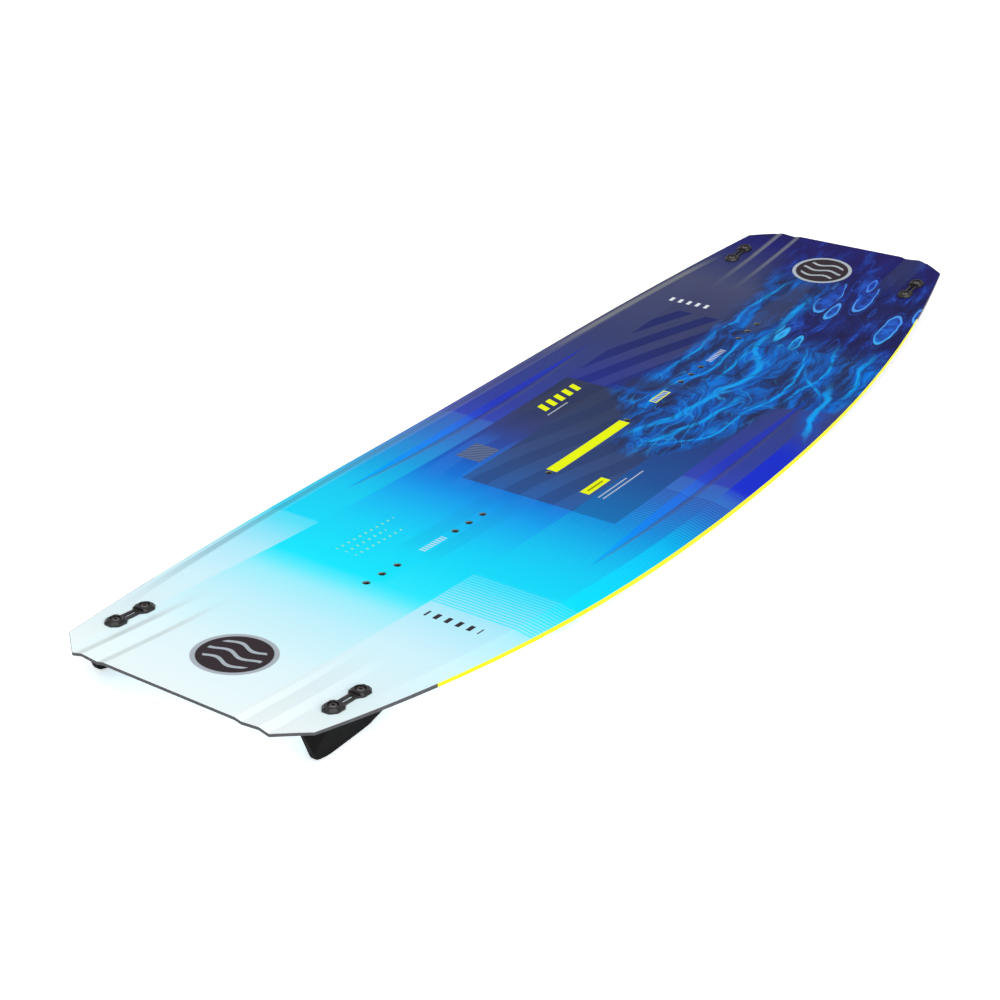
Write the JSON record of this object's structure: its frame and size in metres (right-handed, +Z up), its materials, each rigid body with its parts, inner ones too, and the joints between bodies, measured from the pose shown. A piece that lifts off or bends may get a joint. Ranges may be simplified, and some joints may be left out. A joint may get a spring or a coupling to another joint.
{
  "type": "wakeboard",
  "caption": "Twin-tip board for standing on while towed across water, with rockered deck, threaded binding inserts and removable fins.",
  "frame": {"origin": "on the floor the fins stand on, under the centre of the board", "axes": "+X from tip A to tip B along the length, +Y across to the left rail, +Z up out of the deck"},
  "size_m": [1.38, 0.418, 0.0504],
  "materials": {
    "top_sheet": "gloss",
    "top_laminate": "satin",
    "wood_core": "matt",
    "base_laminate": "satin",
    "base_sheet": "gloss",
    "side_rail": "satin",
    "tip_rail": "satin",
    "fin_block": "matt",
    "insert": "satin",
    "fin": "satin",
    "washer_plate": "satin",
    "screw": "satin"
  },
  "bodies": {
    "board": {"top_sheet": "top_sheet", "top_laminate": "top_laminate", "wood_core": "wood_core", "base_laminate": "base_laminate", "base_sheet": "base_sheet", "side_rail_l": "side_rail", "side_rail_r": "side_rail", "tip_rail_a": "tip_rail", "tip_rail_b": "tip_rail", "fin_block_al": "fin_block", "fin_block_ar": "fin_block", "fin_block_bl": "fin_block", "fin_block_br": "fin_block", "binding_inserts": "insert", "handle_inserts": "insert"},
    "fin_al": {"fin_al": "fin", "fin_inserts_al": "insert"},
    "plate_al": {"washer_plate_al": "washer_plate"},
    "screw_al1": {"fin_screw_al1": "screw"},
    "screw_al2": {"fin_screw_al2": "screw"},
    "fin_ar": {"fin_ar": "fin", "fin_inserts_ar": "insert"},
    "plate_ar": {"washer_plate_ar": "washer_plate"},
    "screw_ar1": {"fin_screw_ar1": "screw"},
    "screw_ar2": {"fin_screw_ar2": "screw"},
    "fin_bl": {"fin_bl": "fin", "fin_inserts_bl": "insert"},
    "plate_bl": {"washer_plate_bl": "washer_plate"},
    "screw_bl1": {"fin_screw_bl1": "screw"},
    "screw_bl2": {"fin_screw_bl2": "screw"},
    "fin_br": {"fin_br": "fin", "fin_inserts_br": "insert"},
    "plate_br": {"washer_plate_br": "washer_plate"},
    "screw_br1": {"fin_screw_br1": "screw"},
    "screw_br2": {"fin_screw_br2": "screw"}
  },
  "joints": [
    {"name": "fin_al_off", "type": "slide", "parent": "board", "child": "fin_al", "axis": [-0.0977, 0, -0.9952], "range_m": [0, 0.03]},
    {"name": "plate_al_off", "type": "slide", "parent": "board", "child": "plate_al", "axis": [0.0977, 0, 0.9952], "range_m": [0, 0.03]},
    {"name": "screw_al1_out", "type": "slide", "parent": "plate_al", "child": "screw_al1", "axis": [0.0977, 0, 0.9952], "range_m": [0, 0.03]},
    {"name": "screw_al2_out", "type": "slide", "parent": "plate_al", "child": "screw_al2", "axis": [0.0977, 0, 0.9952], "range_m": [0, 0.03]},
    {"name": "fin_ar_off", "type": "slide", "parent": "board", "child": "fin_ar", "axis": [-0.0977, 0, -0.9952], "range_m": [0, 0.03]},
    {"name": "plate_ar_off", "type": "slide", "parent": "board", "child": "plate_ar", "axis": [0.0977, 0, 0.9952], "range_m": [0, 0.03]},
    {"name": "screw_ar1_out", "type": "slide", "parent": "plate_ar", "child": "screw_ar1", "axis": [0.0977, 0, 0.9952], "range_m": [0, 0.03]},
    {"name": "screw_ar2_out", "type": "slide", "parent": "plate_ar", "child": "screw_ar2", "axis": [0.0977, 0, 0.9952], "range_m": [0, 0.03]},
    {"name": "fin_bl_off", "type": "slide", "parent": "board", "child": "fin_bl", "axis": [0.0977, 0, -0.9952], "range_m": [0, 0.03]},
    {"name": "plate_bl_off", "type": "slide", "parent": "board", "child": "plate_bl", "axis": [-0.0977, 0, 0.9952], "range_m": [0, 0.03]},
    {"name": "screw_bl1_out", "type": "slide", "parent": "plate_bl", "child": "screw_bl1", "axis": [-0.0977, 0, 0.9952], "range_m": [0, 0.03]},
    {"name": "screw_bl2_out", "type": "slide", "parent": "plate_bl", "child": "screw_bl2", "axis": [-0.0977, 0, 0.9952], "range_m": [0, 0.03]},
    {"name": "fin_br_off", "type": "slide", "parent": "board", "child": "fin_br", "axis": [0.0977, 0, -0.9952], "range_m": [0, 0.03]},
    {"name": "plate_br_off", "type": "slide", "parent": "board", "child": "plate_br", "axis": [-0.0977, 0, 0.9952], "range_m": [0, 0.03]},
    {"name": "screw_br1_out", "type": "slide", "parent": "plate_br", "child": "screw_br1", "axis": [-0.0977, 0, 0.9952], "range_m": [0, 0.03]},
    {"name": "screw_br2_out", "type": "slide", "parent": "plate_br", "child": "screw_br2", "axis": [-0.0977, 0, 0.9952], "range_m": [0, 0.03]}
  ]
}
